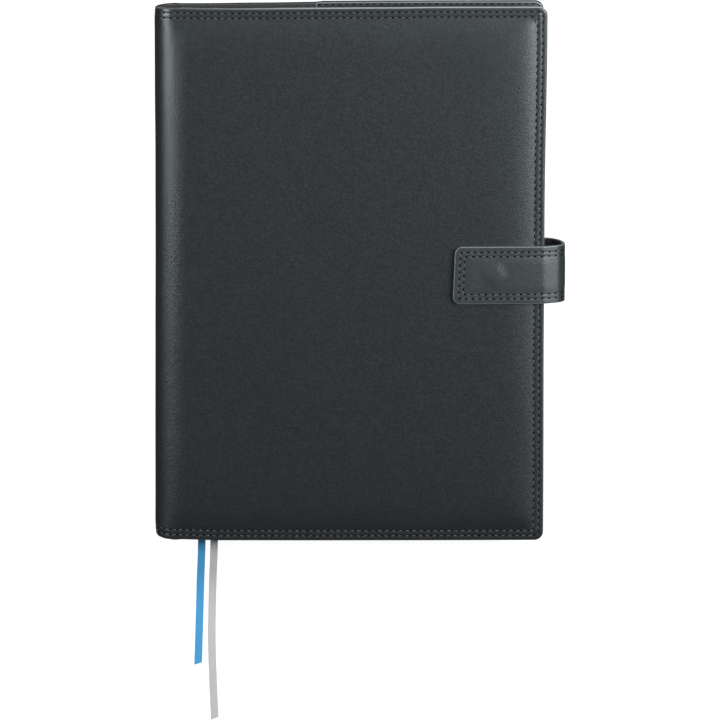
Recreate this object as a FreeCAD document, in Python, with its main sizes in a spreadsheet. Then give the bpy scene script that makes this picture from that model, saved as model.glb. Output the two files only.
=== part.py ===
# A refillable leather notebook cover, closed and lying on its back: two padded leather sides, a
# rounded spine, a closing strap with a magnet, the notebook inside and its two ribbon markers.
# Millimetres. +X runs from the spine to the fore edge, +Y from the tail to the head, +Z up.
# The origin is on the table, midway between the spine and the outside of the strap.
import FreeCAD
import Part
import Sketcher
import math
import os

doc = FreeCAD.newDocument("NotebookCover")
sizes = doc.addObject("Spreadsheet::Sheet", "Sizes")

dimensions = (
    ("cover_width", 172, "spine to fore edge, closed"),
    ("cover_height", 240, "tail to head"),
    ("cover_thick", 22, "back face to front face, closed"),
    ("corner_round", 4, "radius of the two fore corners of each side"),
    ("spine_round", 8, "outer radius of the leather where it turns into the spine"),
    ("leather", 1.2, "outer leather"),
    ("foam", 1.0, "pad under the outer leather"),
    ("board", 1.2, "stiffening board"),
    ("puff", 0.8, "height of the padded middle above the sewn rim"),
    ("puff_edge", 0.56, "rounding along the edge of the padded middle"),
    ("rim", 5.6, "width of the sewn rim"),
    ("hinge_gap", 3, "bare leather between the board and the spine"),
    ("lining", 0.5, "woven lining"),
    ("inset", 0.6, "lining and sleeve set in from the edge of the leather"),
    ("sleeve", 0.6, "leather of the inner sleeve"),
    ("sleeve_slot", 1.2, "depth of the space behind the sleeve"),
    ("sleeve_seam", 3.5, "width of the sewn seam of the sleeve"),
    ("sleeve_start", 63, "free edge of the sleeve, from the spine bend"),
    ("thread", 0.3, "height of the thread above the leather"),
    ("thread_width", 0.6, "width of one row of thread"),
    ("row_outer", 2.3, "outer row of thread, from the edge"),
    ("row_inner", 4.3, "inner row of thread, from the edge"),
    ("card", 0.8, "card cover of the notebook"),
    ("spine_card", 0.72, "card spine of the notebook"),
    ("card_width", 156, "card cover, spine to fore edge"),
    ("card_height", 229, "card cover, tail to head"),
    ("card_rise", 1, "card spine beyond the flat of the leather spine, at each end"),
    ("slack", 0.2, "play of each card cover and of the paper"),
    ("page_width", 158.5, "paper, binding to fore edge"),
    ("page_height", 226, "paper, tail to head"),
    ("page_overhang", 3, "binding edge of the paper, beyond the spine bend"),
    ("ribbon_gap", 0.6, "space for the ribbons between the two halves of the paper"),
    ("ribbon_width", 3, "ribbon marker"),
    ("ribbon_thick", 0.3, "ribbon marker"),
    ("strap_width", 25.8, "closing strap"),
    ("strap_ply", 1.1, "each of the two plies of the strap"),
    ("strap_reach", 9.5, "strap beyond the fore edge"),
    ("strap_tongue", 5, "strap sewn into the back rim"),
    ("lower_bend", 5, "middle radius of the strap's lower bend"),
    ("upper_bend", 6, "middle radius of the strap's upper bend"),
    ("tab_overlap", 40, "tab lying on the front, from the fore edge"),
    ("tab_round", 3, "corner radius of the tab"),
    ("tab_gap", 0.3, "space between the tab and the front"),
    ("magnet_round", 5, "radius of both magnets"),
    ("magnet_thick", 1, "thickness of both magnets"),
    ("magnet_inset", 18, "centre of the magnets, from the end of the tab"),
    ("bump_round", 6.4, "radius of the swelling over the strap's magnet"),
    ("bump", 0.8, "height of the swelling over the strap's magnet"),
    ("bump_edge", 0.72, "rounding along the edge of the swelling"),
)
for row, (name, value, note) in enumerate(dimensions, start=1):
    sizes.set(f"A{row}", name)
    sizes.set(f"B{row}", str(value))
    sizes.set(f"C{row}", note)
    sizes.setAlias(f"B{row}", name)
doc.recompute()

# Places worked out from the sheet, as expressions that each object is bound to.
west = "-(Sizes.cover_width + Sizes.strap_reach) / 2"
east = f"({west} + Sizes.cover_width)"
hinge = f"({west} + Sizes.spine_round)"
south = "-Sizes.cover_height / 2"
side_width = "(Sizes.cover_width - Sizes.spine_round)"
tray = "(Sizes.leather + Sizes.foam + Sizes.board)"
lined = f"({tray} + Sizes.lining)"
covered = f"({lined} + Sizes.sleeve_slot + Sizes.sleeve)"
spine_skin = "(Sizes.leather + Sizes.lining)"
spine_flat = "(Sizes.cover_thick - 2 * Sizes.spine_round)"
page_half = f"((Sizes.cover_thick - 2 * {covered} - 2 * Sizes.slack - Sizes.ribbon_gap) / 2)"
root_level = f"({tray} - 2 * Sizes.strap_ply)"
tab_level = "(Sizes.cover_thick + Sizes.tab_gap)"
tab_west = f"({east} - Sizes.tab_overlap)"
magnet_x = f"({tab_west} + Sizes.magnet_inset)"
strap_face = f"({east} + Sizes.strap_reach)"
lower_end = f"({strap_face} - Sizes.strap_ply - Sizes.lower_bend)"
upper_end = f"({strap_face} - Sizes.strap_ply - Sizes.upper_bend)"
lower_top = f"({root_level} + Sizes.strap_ply + Sizes.lower_bend)"
upper_foot = f"({tab_level} + Sizes.strap_ply - Sizes.upper_bend)"

sub_parts = []


def number(expression):
    """The value of an expression over the sheet, in millimetres."""
    return float(sizes.evalExpression(expression))


def place(item, x, y, z, turn=0):
    """Move an item to x, y, z, turned about X by the degrees given."""
    item.Placement = FreeCAD.Placement(
        FreeCAD.Vector(0, 0, 0), FreeCAD.Rotation(FreeCAD.Vector(1, 0, 0), turn)
    )
    item.setExpression("Placement.Base.x", x)
    item.setExpression("Placement.Base.y", y)
    item.setExpression("Placement.Base.z", z)


def keep(item):
    sub_parts.append(item)
    return item


def new_body(label):
    body = doc.addObject("PartDesign::Body", label)
    body.Label = label
    return keep(body)


def new_sketch(body, x, y, z):
    sketch = body.newObject("Sketcher::SketchObject", "Outline")
    ground = next(f for f in body.Origin.OriginFeatures if f.Role == "XY_Plane")
    sketch.AttachmentSupport = [(ground, "")]
    sketch.MapMode = "FlatFace"
    sketch.setExpression(".AttachmentOffset.Base.x", x)
    sketch.setExpression(".AttachmentOffset.Base.y", y)
    sketch.setExpression(".AttachmentOffset.Base.z", z)
    return sketch


def rectangle(body, x, y, z, width, height):
    """A sketch of a rectangle whose lower left corner is at x, y."""
    sketch = new_sketch(body, x, y, z)
    wide = number(width)
    high = number(height)
    corners = [FreeCAD.Vector(*c, 0) for c in ((0, 0), (wide, 0), (wide, high), (0, high))]
    for i in range(4):
        sketch.addGeometry(Part.LineSegment(corners[i], corners[(i + 1) % 4]))
    for i in range(4):
        sketch.addConstraint(Sketcher.Constraint("Coincident", i, 2, (i + 1) % 4, 1))
        sketch.addConstraint(Sketcher.Constraint("Vertical" if i % 2 else "Horizontal", i))
    sketch.addConstraint(Sketcher.Constraint("Coincident", 0, 1, -1, 1))
    across = sketch.addConstraint(Sketcher.Constraint("DistanceX", 0, 1, 0, 2, wide))
    along = sketch.addConstraint(Sketcher.Constraint("DistanceY", 1, 1, 1, 2, high))
    sketch.setExpression(f"Constraints[{across}]", width)
    sketch.setExpression(f"Constraints[{along}]", height)
    return sketch


def circle(body, x, y, z, radius):
    sketch = new_sketch(body, x, y, z)
    size = number(radius)
    sketch.addGeometry(Part.Circle(FreeCAD.Vector(0, 0, 0), FreeCAD.Vector(0, 0, 1), size))
    sketch.addConstraint(Sketcher.Constraint("Coincident", 0, 3, -1, 1))
    measure = sketch.addConstraint(Sketcher.Constraint("Radius", 0, size))
    sketch.setExpression(f"Constraints[{measure}]", radius)
    return sketch


def pad(body, sketch, depth):
    feature = body.newObject("PartDesign::Pad", "Pad")
    feature.Profile = sketch
    feature.setExpression("Length", depth)
    doc.recompute()
    return feature


def pocket(body, sketch, depth):
    """Cuts upward from the sketch, and stops if nothing was cut."""
    before = body.Shape.Volume
    feature = body.newObject("PartDesign::Pocket", "Pocket")
    feature.Profile = sketch
    feature.Reversed = True
    feature.setExpression("Length", depth)
    doc.recompute()
    if body.Shape.Volume > before - 1:
        raise RuntimeError(f"{body.Label}: the pocket cuts nothing")
    return feature


def round_edges(body, radius, wanted):
    """Fillets the edges of the body's tip for which wanted(edge) is true."""
    tip = body.Tip
    names = [f"Edge{i}" for i, edge in enumerate(tip.Shape.Edges, start=1) if wanted(edge)]
    if not names:
        raise RuntimeError(f"{body.Label}: no edges to round")
    feature = body.newObject("PartDesign::Fillet", "Round")
    feature.Base = (tip, names)
    feature.setExpression("Radius", radius)
    doc.recompute()
    return feature


def upright_at(x, *ys):
    """Picks upright edges at x and at one of the ys, in the body's own axes."""

    def test(edge):
        low = edge.BoundBox
        upright = low.ZLength > 0.1 and low.XLength < 0.01 and low.YLength < 0.01
        return upright and abs(low.XMin - x) < 0.01 and min(abs(low.YMin - y) for y in ys) < 0.01

    return test


def flat_at(z):
    """Picks the edges that lie at height z, in the body's own axes."""
    return lambda edge: edge.BoundBox.ZLength < 0.01 and abs(edge.BoundBox.ZMin - z) < 0.01


def box(label, x, y, z, length, width, height):
    item = doc.addObject("Part::Box", label)
    item.Label = label
    item.setExpression("Length", length)
    item.setExpression("Width", width)
    item.setExpression("Height", height)
    place(item, x, y, z)
    return item


def bend(label, x, y, z, outer, inner, width, turn):
    """A quarter ring about an axis along -Y through x, y, z, starting at the angle turn."""
    rings = []
    for name, radius in (("outer", outer), ("inner", inner)):
        ring = doc.addObject("Part::Cylinder", f"{label}_{name}")
        ring.Angle = 90
        ring.setExpression("Radius", radius)
        ring.setExpression("Height", width)
        rings.append(ring)
    item = doc.addObject("Part::Cut", label)
    item.Label = label
    item.Base, item.Tool = rings
    upright = FreeCAD.Rotation(FreeCAD.Vector(1, 0, 0), 90)
    spun = FreeCAD.Rotation(FreeCAD.Vector(0, 0, 1), turn)
    item.Placement = FreeCAD.Placement(FreeCAD.Vector(0, 0, 0), upright.multiply(spun))
    item.setExpression("Placement.Base.x", x)
    item.setExpression("Placement.Base.y", f"{y} + {width}")
    item.setExpression("Placement.Base.z", z)
    return keep(item)


def group(label, items):
    item = doc.addObject("Part::Compound", label)
    item.Label = label
    item.Links = items
    return keep(item)


# Each side is drawn with its outer face down: x from the spine bend to the fore edge, y from one
# end to the other, z inward. The front is the same side turned over.
def put_side(item, side):
    if side == "back":
        place(item, hinge, south, "0")
    else:
        place(item, hinge, f"-({south})", "Sizes.cover_thick", turn=180)


def outer_leather(side):
    """A skin turned in at its edges: a thick sewn rim and a raised middle, hollow behind."""
    body = new_body(f"{side}_outer_leather")
    middle = "Sizes.cover_height - 2 * Sizes.rim"
    pad(body, rectangle(body, "0", "0", "Sizes.puff", side_width, "Sizes.cover_height"),
        f"{tray} - Sizes.puff")
    pad(body, rectangle(body, "0", "Sizes.rim", "0", f"{side_width} - Sizes.rim", middle),
        "Sizes.puff")
    round_edges(body, "Sizes.puff_edge", lambda edge: flat_at(0)(edge) and edge.BoundBox.XMax > 1)
    hollow = rectangle(body, "Sizes.hinge_gap", "Sizes.rim", "Sizes.leather",
                       f"{side_width} - Sizes.rim - Sizes.hinge_gap", middle)
    pocket(body, hollow, "Sizes.foam + Sizes.board")
    if side == "back":
        notch = rectangle(body, f"{side_width} - Sizes.strap_tongue",
                          "(Sizes.cover_height - Sizes.strap_width) / 2", root_level,
                          "Sizes.strap_tongue", "Sizes.strap_width")
        pocket(body, notch, "2 * Sizes.strap_ply")
    round_edges(body, "Sizes.corner_round",
                upright_at(number(side_width), 0, number("Sizes.cover_height")))
    put_side(body, side)


def padding(side, name, level, thick, hole):
    body = new_body(f"{side}_{name}")
    outline = rectangle(body, "Sizes.hinge_gap", "Sizes.rim", level,
                        f"{side_width} - Sizes.rim - Sizes.hinge_gap",
                        "Sizes.cover_height - 2 * Sizes.rim")
    pad(body, outline, thick)
    if hole:
        seat = circle(body, f"{magnet_x} - {hinge}", "Sizes.cover_height / 2", level,
                      "Sizes.magnet_round")
        pocket(body, seat, thick)
    put_side(body, side)


def lining(side):
    body = new_body(f"{side}_lining")
    outline = rectangle(body, "0", "Sizes.inset", tray, f"{side_width} - Sizes.inset",
                        "Sizes.cover_height - 2 * Sizes.inset")
    pad(body, outline, "Sizes.lining")
    ends = (number("Sizes.inset"), number("Sizes.cover_height - Sizes.inset"))
    round_edges(body, "Sizes.corner_round - Sizes.inset",
                upright_at(number(f"{side_width} - Sizes.inset"), *ends))
    put_side(body, side)


def sleeve(side):
    """A leather pocket, sewn along three edges and open towards the spine."""
    body = new_body(f"{side}_sleeve")
    outline = rectangle(body, "Sizes.sleeve_start", "Sizes.inset", lined,
                        f"{side_width} - Sizes.inset - Sizes.sleeve_start",
                        "Sizes.cover_height - 2 * Sizes.inset")
    pad(body, outline, "Sizes.sleeve_slot + Sizes.sleeve")
    seam = "(Sizes.inset + Sizes.sleeve_seam)"
    slot = rectangle(body, "Sizes.sleeve_start", seam, lined,
                     f"{side_width} - {seam} - Sizes.sleeve_start",
                     f"Sizes.cover_height - 2 * {seam}")
    pocket(body, slot, "Sizes.sleeve_slot")
    ends = (number("Sizes.inset"), number("Sizes.cover_height - Sizes.inset"))
    round_edges(body, "Sizes.corner_round - Sizes.inset",
                upright_at(number(f"{side_width} - Sizes.inset"), *ends))
    put_side(body, side)


def insert_card(side):
    body = new_body(f"insert_{side}_card")
    outline = rectangle(body, "Sizes.slack", "(Sizes.cover_height - Sizes.card_height) / 2",
                        f"{lined} + Sizes.slack", "Sizes.card_width", "Sizes.card_height")
    pad(body, outline, "Sizes.card")
    put_side(body, side)


def thread_row(label, start, inset, end, level, ends):
    """One row of thread along three edges of a panel, as a thin strip open at x = start."""
    loops = []
    for name, step in (("around", inset), ("within", f"({inset} + Sizes.thread_width)")):
        loops.append(box(f"{label}_{name}", start, step, level, f"{end} - {step} - ({start})",
                         f"{ends} - 2 * {step}", "Sizes.thread"))
    row = doc.addObject("Part::Cut", f"{label}_row")
    row.Base, row.Tool = loops
    return row


def stitching(side):
    half = "Sizes.thread_width / 2"
    rows = [
        thread_row(f"{side}_{name}", "0", f"(Sizes.{name} - {half})", side_width,
                   "(Sizes.puff - Sizes.thread)", "Sizes.cover_height")
        for name in ("row_outer", "row_inner")
    ]
    put_side(group(f"{side}_stitching", rows), side)
    inner = thread_row(f"{side}_sleeve", "Sizes.sleeve_start",
                       f"(Sizes.inset + Sizes.row_outer - {half})", side_width, covered,
                       "Sizes.cover_height")
    put_side(group(f"{side}_sleeve_stitching", [inner]), side)


for side in ("back", "front"):
    outer_leather(side)
    padding(side, "foam_pad", "Sizes.leather", "Sizes.foam", hole=side == "front")
    padding(side, "board", "(Sizes.leather + Sizes.foam)", "Sizes.board", hole=False)
    lining(side)
    sleeve(side)
    stitching(side)
    insert_card(side)

# The magnet in the front, in the hole of its foam pad.
front_magnet = keep(doc.addObject("Part::Cylinder", "front_magnet"))
front_magnet.setExpression("Radius", "Sizes.magnet_round")
front_magnet.setExpression("Height", "Sizes.magnet_thick")
place(front_magnet, magnet_x, "0", "Sizes.cover_thick - Sizes.leather - Sizes.magnet_thick")

# The spine: a flat leather strip with its lining, and the two places where the skin bends.
keep(box("spine_leather", west, south, "Sizes.spine_round",
         "Sizes.leather", "Sizes.cover_height", spine_flat))
keep(box("spine_lining", f"{west} + Sizes.leather", south, "Sizes.spine_round",
         "Sizes.lining", "Sizes.cover_height", spine_flat))
bend("spine_back_bend", hinge, south, "Sizes.spine_round", "Sizes.spine_round",
     f"Sizes.spine_round - {spine_skin}", "Sizes.cover_height", 180)
bend("spine_front_bend", hinge, south, "Sizes.cover_thick - Sizes.spine_round",
     "Sizes.spine_round", f"Sizes.spine_round - {spine_skin}", "Sizes.cover_height", 90)
# The notebook: its card spine, and its paper in two halves with the ribbons between them.
keep(box("insert_spine_card", f"{west} + {spine_skin} + Sizes.slack",
         "-Sizes.card_height / 2", "Sizes.spine_round - Sizes.card_rise", "Sizes.spine_card",
         "Sizes.card_height", f"{spine_flat} + 2 * Sizes.card_rise"))
page_west = f"({hinge} - Sizes.page_overhang)"
page_base = f"({covered} + Sizes.slack)"
for name, level in (("lower", page_base),
                    ("upper", f"({page_base} + {page_half} + Sizes.ribbon_gap)")):
    body = new_body(f"pages_{name}")
    pad(body, rectangle(body, "0", "0", "0", "Sizes.page_width", "Sizes.page_height"),
        page_half)
    place(body, page_west, "-Sizes.page_height / 2", level)

# The strap: two plies from the back rim, out round the fore edge and over the front.
strap_south = "-Sizes.strap_width / 2"
plies = {
    "outer": {"root": root_level, "side": f"({strap_face} - Sizes.strap_ply)", "grow": "0",
              "tab": f"({tab_level} + Sizes.strap_ply)"},
    "inner": {"root": f"({root_level} + Sizes.strap_ply)",
              "side": f"({strap_face} - 2 * Sizes.strap_ply)", "grow": "Sizes.strap_ply",
              "tab": tab_level},
}


def strap_ply(ply):
    at = plies[ply]
    keep(box(f"strap_root_{ply}", f"{east} - Sizes.strap_tongue", strap_south, at["root"],
             f"{lower_end} - {east} + Sizes.strap_tongue", "Sizes.strap_width",
             "Sizes.strap_ply"))
    lower = f"(Sizes.lower_bend + Sizes.strap_ply - {at['grow']})"
    upper = f"(Sizes.upper_bend + Sizes.strap_ply - {at['grow']})"
    bend(f"strap_lower_bend_{ply}", lower_end, strap_south, lower_top, lower,
         f"{lower} - Sizes.strap_ply", "Sizes.strap_width", 270)
    keep(box(f"strap_side_{ply}", at["side"], strap_south, lower_top,
             "Sizes.strap_ply", "Sizes.strap_width", f"{upper_foot} - {lower_top}"))
    bend(f"strap_upper_bend_{ply}", upper_end, strap_south, upper_foot, upper,
         f"{upper} - Sizes.strap_ply", "Sizes.strap_width", 0)


def strap_tab(ply):
    """The end of the strap, with two round corners; the outer ply swells over the magnet."""
    body = new_body(f"strap_tab_{ply}")
    pad(body, rectangle(body, "0", "0", "0", f"{upper_end} - {tab_west}",
                        "Sizes.strap_width"), "Sizes.strap_ply")
    if ply == "outer":
        middle = "Sizes.strap_width / 2"
        swelling = circle(body, "Sizes.magnet_inset", middle, "Sizes.strap_ply",
                          "Sizes.bump_round")
        pad(body, swelling, "Sizes.bump")
        top = number("Sizes.strap_ply + Sizes.bump")
        round_edges(body, "Sizes.bump_edge", flat_at(top))
        seat = circle(body, "Sizes.magnet_inset", middle, "0", "Sizes.magnet_round")
        pocket(body, seat, "Sizes.magnet_thick")
    round_edges(body, "Sizes.tab_round", upright_at(0, 0, number("Sizes.strap_width")))
    place(body, tab_west, strap_south, plies[ply]["tab"])


for ply in ("outer", "inner"):
    strap_ply(ply)
    strap_tab(ply)

strap_magnet = keep(doc.addObject("Part::Cylinder", "strap_magnet"))
strap_magnet.setExpression("Radius", "Sizes.magnet_round")
strap_magnet.setExpression("Height", "Sizes.magnet_thick")
place(strap_magnet, magnet_x, "0", f"{tab_level} + Sizes.strap_ply")

tab_rows = []
for name in ("row_outer", "row_inner"):
    parts = []
    for label, step in (("around", f"(Sizes.{name} - Sizes.thread_width / 2)"),
                        ("within", f"(Sizes.{name} + Sizes.thread_width / 2)")):
        parts.append(box(f"tab_{name}_{label}", step, step, "0",
                         f"{upper_end} - {tab_west} - {step}",
                         f"Sizes.strap_width - 2 * {step}", "Sizes.thread / 2"))
    row = doc.addObject("Part::Cut", f"tab_{name}")
    row.Base, row.Tool = parts
    tab_rows.append(row)
place(group("strap_stitching", tab_rows), tab_west, strap_south,
      f"{tab_level} + 2 * Sizes.strap_ply")

# Each ribbon runs from the head of the binding between the two halves of the paper, out at the
# tail and down to the table. Its route is straight runs joined by arcs as large as they allow.
ribbon_routes = {
    "ribbon_blue": (
        (-84, 112, 11), (-81.2, 68, 11), (-77.3, 22, 11), (-73.7, -24, 11), (-71.4, -64, 11),
        (-70.3, -96, 11), (-70, -119, 11), (-70.1, -130, 6.8), (-70.4, -141, 1.6),
        (-70.6, -152, 0.2), (-71, -167, 0.2), (-71.4, -181.1, 0.2),
    ),
    "ribbon_grey": (
        (-80.4, 112, 11), (-76.8, 70, 11), (-72.1, 24, 11), (-68.3, -22, 11), (-65.9, -62, 11),
        (-64.8, -95, 11), (-64.5, -119, 11), (-64.6, -130.5, 6.9), (-64.9, -141.5, 1.8),
        (-65.1, -152, 0.2), (-65.4, -167, 0.2), (-64.9, -186, 0.2), (-63.9, -206.2, 0.2),
    ),
}


def ribbon_path(points):
    """Straight runs joined by tangent arcs; returns the wire, its length and the radii."""
    points = [FreeCAD.Vector(*p) for p in points]
    edges = []
    radii = []
    start = points[0]
    for before, corner, after in zip(points, points[1:], points[2:]):
        back = before - corner
        ahead = after - corner
        reach = 0.45 * min(back.Length, ahead.Length)
        half_turn = (math.pi - back.getAngle(ahead)) / 2
        radii.append(reach / math.tan(half_turn))
        back.normalize()
        ahead.normalize()
        first = corner + back * reach
        last = corner + ahead * reach
        inward = back + ahead
        inward.normalize()
        middle = corner + inward * radii[-1] * (1 / math.cos(half_turn) - 1)
        edges.append(Part.LineSegment(start, first).toShape())
        edges.append(Part.Arc(first, middle, last).toShape())
        start = last
    edges.append(Part.LineSegment(start, points[-1]).toShape())
    wire = Part.Wire(edges)
    return wire, wire.Length, radii


def ribbon(label):
    wide = number("Sizes.ribbon_width")
    thick = number("Sizes.ribbon_thick")
    wire, length, radii = ribbon_path(ribbon_routes[label])
    start = wire.OrderedVertexes[0].Point
    heading = wire.OrderedEdges[0].tangentAt(wire.OrderedEdges[0].FirstParameter)
    across = heading.cross(FreeCAD.Vector(0, 0, 1))
    across.normalize()
    up = across.cross(heading)
    corners = [start + across * (a * wide / 2) + up * (b * thick / 2)
               for a, b in ((-1, -1), (1, -1), (1, 1), (-1, 1), (-1, -1))]
    sweep = Part.BRepOffsetAPI.MakePipeShell(wire)
    sweep.setBiNormalMode(FreeCAD.Vector(0, 0, 1))
    sweep.add(Part.makePolygon(corners))
    sweep.build()
    sweep.makeSolid()
    item = keep(doc.addObject("Part::Feature", label))
    item.Shape = sweep.shape()
    item.Placement = FreeCAD.Placement()
    print(label, "length", round(length, 1), "least radius", round(min(radii), 1),
          "volume", round(item.Shape.Volume, 1), "of", round(length * wide * thick, 1))


for label in ribbon_routes:
    ribbon(label)

doc.recompute()
for item in doc.Objects:
    if "Invalid" in item.State or "Error" in item.State:
        raise RuntimeError(f"{item.Name} failed: {item.State}")
for item in sub_parts:
    if item.Shape.isNull() or not item.Shape.isValid():
        raise RuntimeError(f"{item.Label} has no valid shape")

os.makedirs("parts", exist_ok=True)
for item in sub_parts:
    item.Shape.exportStep(f"parts/{item.Label}.step")
print(len(sub_parts), "parts")
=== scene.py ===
import bpy
import bisect
import math
import random
from mathutils import Matrix, Vector, noise


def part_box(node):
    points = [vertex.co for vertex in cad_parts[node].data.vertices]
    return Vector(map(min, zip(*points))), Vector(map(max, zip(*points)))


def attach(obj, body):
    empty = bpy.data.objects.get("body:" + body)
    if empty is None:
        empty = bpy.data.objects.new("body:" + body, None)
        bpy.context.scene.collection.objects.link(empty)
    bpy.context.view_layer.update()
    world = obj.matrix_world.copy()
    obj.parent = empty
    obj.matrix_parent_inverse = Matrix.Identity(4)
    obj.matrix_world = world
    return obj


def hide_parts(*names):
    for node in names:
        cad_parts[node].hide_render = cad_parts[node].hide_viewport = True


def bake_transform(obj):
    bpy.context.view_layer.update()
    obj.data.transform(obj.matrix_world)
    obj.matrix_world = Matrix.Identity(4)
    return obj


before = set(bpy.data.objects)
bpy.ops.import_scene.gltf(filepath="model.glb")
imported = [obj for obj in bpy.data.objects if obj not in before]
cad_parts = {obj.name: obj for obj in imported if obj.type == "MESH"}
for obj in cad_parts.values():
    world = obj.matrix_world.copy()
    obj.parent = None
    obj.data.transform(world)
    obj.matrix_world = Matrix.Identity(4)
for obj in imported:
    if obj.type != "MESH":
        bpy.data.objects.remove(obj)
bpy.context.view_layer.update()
random.seed(17)
mm = 0.001
tiny = 1e-6  # two values closer than this are the same

cameraSetup = {
    "place": (-0.18558, 1.03321, 5.37433),  # over the head of the cover, far off
    "turn": (-0.19749, -0.03462, 0.00389),  # 11 degrees off straight down
    "lens": 615.45,  # mm
    "sensor": 36,  # mm
    "farthest": 50,  # m
}
camera = bpy.data.objects.new("camera", bpy.data.cameras.new("camera"))
camera.data.lens = cameraSetup["lens"]
camera.data.sensor_width = cameraSetup["sensor"]
camera.data.clip_end = cameraSetup["farthest"]
camera.rotation_mode = "ZXY"
camera.rotation_euler = cameraSetup["turn"]
camera.location = cameraSetup["place"]
bpy.context.scene.collection.objects.link(camera)
bpy.context.scene.camera = camera
bpy.context.scene.view_settings.view_transform = "Standard"
print("camera ready")


def toLinear(hexColour):
    parts = [int(hexColour[i:i + 2], 16) / 255 for i in (1, 3, 5)]
    parts = [c / 12.92 if c <= 0.04045 else ((c + 0.055) / 1.055) ** 2.4 for c in parts]
    return (*parts, 1)


lightSetup = {  # name: (place, aim, width, height, watts)
    "headBox": ((0, 1.0, 0.8), (0, 0.1, 0), 0.9, 0.4, 5.8),
    "rightBox": ((0.5, 0.2, 0.62), (0.06, 0.1, 0), 0.34, 0.44, 10.2),
    "leftBox": ((-0.6, 0.18, 0.6), (-0.06, 0.1, 0), 0.34, 0.44, 8.3),
    "strapBox": ((0.54, -0.11, 0.39), (0.085, 0, 0.02), 0.15, 0.2, 0.6),
}
for name, (place, aim, width, height, watts) in lightSetup.items():
    lamp = bpy.data.lights.new(name, "AREA")
    lamp.shape = "RECTANGLE"
    lamp.size = width
    lamp.size_y = height
    lamp.energy = watts
    holder = bpy.data.objects.new(name, lamp)
    holder.location = place
    holder.rotation_euler = (Vector(aim) - Vector(place)).to_track_quat("-Z", "Y").to_euler()
    bpy.context.scene.collection.objects.link(holder)

worldSetup = {"colour": (1, 1, 1, 1), "strength": 0.058}  # a weak, even fill
world = bpy.data.worlds.new("studio")
world.use_nodes = True
background = world.node_tree.nodes["Background"]
background.inputs["Color"].default_value = worldSetup["colour"]
background.inputs["Strength"].default_value = worldSetup["strength"]
bpy.context.scene.world = world
print("lights ready")


def newMaterial(name, hexColour, roughness, **sockets):
    material = bpy.data.materials.new(name)
    material.use_nodes = True
    shader = material.node_tree.nodes["Principled BSDF"]
    shader.inputs["Base Color"].default_value = toLinear(hexColour)
    shader.inputs["Roughness"].default_value = roughness
    for socket, value in sockets.items():
        shader.inputs[socket.replace("_", " ")].default_value = value
    return material, material.node_tree, shader


def addNode(tree, kind, settings=None, links=None):
    node = tree.nodes.new(kind)
    for key, value in (settings or {}).items():
        if isinstance(key, int) or key in node.inputs:
            node.inputs[key].default_value = value
        else:
            setattr(node, key, value)
    for key, source in (links or {}).items():
        tree.links.new(source, node.inputs[key])
    return node


def perMillimetre(size):
    return 1 / (size * mm)


# in each look, relief is the bump's strength and its depth in mm
leatherLook = {
    "colour": "#121416",
    "light": "#181B1D",
    # pale cut edge colour; on the cover it also carries a painted highlight along the head edge
    "edge": "#8A9193",
    "glint": (0.86, 0.97, 1, 1),
    "grain": 0.7,  # mm, pebbles drawn coarser than real ones so that they show
    "mottle": 6,  # mm, uneven dye
    "relief": (0.45, 0.1),
    "pebbles": 0.8,  # share of the pebbles in the relief, beside the creases
    "roughness": 0.34,
    "shine": (-0.05, 0.08),  # added to the roughness on the smooth and the creased parts
}
sleeveLook = dict(leatherLook, colour="#181B1D", light="#232729", edge="#6B7173", roughness=0.4)
strapLook = dict(leatherLook, colour="#1B1F21", light="#25292B", edge="#5A6163", roughness=0.35)


def makeLeather(name, look):
    # smooth finished calf: a fine pebble, a soft shine and paler edges; on the cover the rim
    # attribute also paints a highlight along the head edge
    material, tree, shader = newMaterial(name, look["colour"], look["roughness"],
                                         Specular_Tint=look["glint"])
    where = addNode(tree, "ShaderNodeTexCoord").outputs["Object"]
    dye = addNode(tree, "ShaderNodeTexNoise",
                  {"Scale": perMillimetre(look["mottle"]), "Detail": 6, "Roughness": 0.65},
                  {"Vector": where})
    pebble = addNode(tree, "ShaderNodeTexVoronoi",
                     {"Scale": perMillimetre(look["grain"]), "feature": "SMOOTH_F1",
                      "Randomness": 1}, {"Vector": where})
    crease = addNode(tree, "ShaderNodeTexNoise",
                     {"Scale": perMillimetre(look["grain"] * 2), "Detail": 8,
                      "Roughness": 0.7}, {"Vector": where})
    tone = addNode(tree, "ShaderNodeMix",
                   {"data_type": "RGBA", 6: toLinear(look["colour"]), 7: toLinear(look["light"])},
                   {"Factor": dye.outputs["Fac"]})
    rim = addNode(tree, "ShaderNodeAttribute", {"attribute_name": "rim"})
    edge = addNode(tree, "ShaderNodeMix", {"data_type": "RGBA", 7: toLinear(look["edge"])},
                   {"Factor": rim.outputs["Fac"], 6: tone.outputs[2]})
    tree.links.new(edge.outputs[2], shader.inputs["Base Color"])
    smooth, creased = look["shine"]
    shine = addNode(tree, "ShaderNodeMapRange",
                    {"From Min": 0.3, "From Max": 0.7, "To Min": look["roughness"] + smooth,
                     "To Max": look["roughness"] + creased}, {"Value": crease.outputs["Fac"]})
    tree.links.new(shine.outputs["Result"], shader.inputs["Roughness"])
    height = addNode(tree, "ShaderNodeMath", {"operation": "MULTIPLY_ADD", 1: look["pebbles"]},
                     {0: pebble.outputs["Distance"], 2: crease.outputs["Fac"]})
    strength, depth = look["relief"]
    bump = addNode(tree, "ShaderNodeBump", {"Strength": strength, "Distance": depth * mm},
                   {"Height": height.outputs[0]})
    tree.links.new(bump.outputs["Normal"], shader.inputs["Normal"])
    return material


leather = makeLeather("smooth dyed calf leather", leatherLook)
sleeveLeather = makeLeather("split leather of the inner sleeve", sleeveLook)
strapLeather = makeLeather("smooth dyed strap leather", strapLook)


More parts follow.
